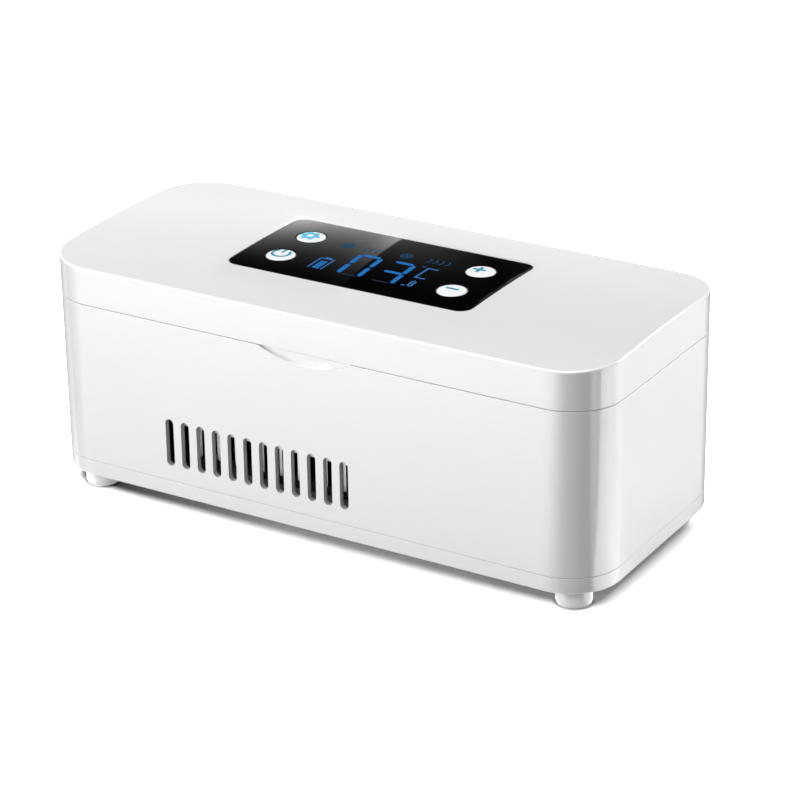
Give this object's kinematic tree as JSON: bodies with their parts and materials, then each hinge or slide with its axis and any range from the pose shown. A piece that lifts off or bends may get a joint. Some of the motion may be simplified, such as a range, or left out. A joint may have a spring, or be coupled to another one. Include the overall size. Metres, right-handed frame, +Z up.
{
  "type": "insulin cooling case",
  "caption": "Portable thermoelectric cooling case for insulin pens: long rounded box on feet with a hinged crowned lid, black display panel, push buttons and vent slots.",
  "frame": {"origin": "on the surface under the feet, below the middle of the case", "axes": "+X along the case to the right as seen from the front, +Y to the hinge side at the back, +Z up"},
  "size_m": [0.208, 0.092, 0.0846],
  "materials": {
    "shell_white": "high gloss white moulding",
    "deck_white": "satin white moulding",
    "button_white": "semi-gloss white cap",
    "lens_black": "black gloss lens",
    "display_grey": "dark display glass",
    "circuit_board": "green solder mask",
    "foam": "closed-cell foam",
    "rubber": "soft grey seal",
    "black_plastic": "matt black moulding",
    "aluminium": "brushed anodised",
    "ceramic": "white ceramic faces",
    "cell_sleeve": "blue heat-shrink sleeve",
    "steel": "plain bright steel",
    "magnet": "nickel plate"
  },
  "bodies": {
    "case": {"main_shell": "shell_white", "base_cover": "shell_white", "foot_front_left": "shell_white", "foot_front_right": "shell_white", "foot_rear_left": "shell_white", "foot_rear_right": "shell_white", "base_screw_1": "steel", "base_screw_2": "steel", "base_screw_3": "steel", "base_screw_4": "steel", "chamber_deck": "deck_white", "inner_tray": "aluminium", "insulation_block": "foam", "temperature_probe": "black_plastic", "battery_holder": "black_plastic", "battery_cell_1": "cell_sleeve", "battery_cell_2": "cell_sleeve", "main_board": "circuit_board", "dc_jack": "black_plastic", "case_magnet_left": "magnet", "case_magnet_right": "magnet", "hinge_pin_left": "steel", "hinge_pin_right": "steel", "fan_frame": "black_plastic", "heat_sink": "aluminium", "peltier_module": "ceramic", "cold_block": "aluminium"},
    "lid": {"lid_shell": "shell_white", "display_lens": "lens_black", "lcd_module": "display_grey", "control_board": "circuit_board", "tact_switch_settings": "black_plastic", "tact_switch_power": "black_plastic", "tact_switch_plus": "black_plastic", "tact_switch_minus": "black_plastic", "lid_insulation": "foam", "lid_liner": "deck_white", "lid_gasket": "rubber", "lid_magnet_left": "magnet", "lid_magnet_right": "magnet", "liner_screw_1": "steel", "liner_screw_2": "steel", "liner_screw_3": "steel", "liner_screw_4": "steel"},
    "fan": {"fan_rotor": "black_plastic"},
    "settings_key": {"button_settings": "button_white"},
    "power_key": {"button_power": "button_white"},
    "plus_key": {"button_plus": "button_white"},
    "minus_key": {"button_minus": "button_white"}
  },
  "joints": [
    {"name": "lid_hinge", "type": "hinge", "parent": "case", "child": "lid", "pos_m": [0, 0.0435, 0.0698], "axis": [-1, 0, 0], "range_deg": [0, 100]},
    {"name": "fan_spin", "type": "hinge", "parent": "case", "child": "fan", "pos_m": [-0.0165, 0, 0.0155], "axis": [0, 0, 1], "continuous": true},
    {"name": "settings_press", "type": "slide", "parent": "lid", "child": "settings_key", "axis": [0, 0, -1], "range_m": [0, 0.0006], "stiffness_N_per_m": 600},
    {"name": "power_press", "type": "slide", "parent": "lid", "child": "power_key", "axis": [0, 0, -1], "range_m": [0, 0.0006], "stiffness_N_per_m": 600},
    {"name": "plus_press", "type": "slide", "parent": "lid", "child": "plus_key", "axis": [0, 0, -1], "range_m": [0, 0.0006], "stiffness_N_per_m": 600},
    {"name": "minus_press", "type": "slide", "parent": "lid", "child": "minus_key", "axis": [0, 0, -1], "range_m": [0, 0.0006], "stiffness_N_per_m": 600}
  ]
}
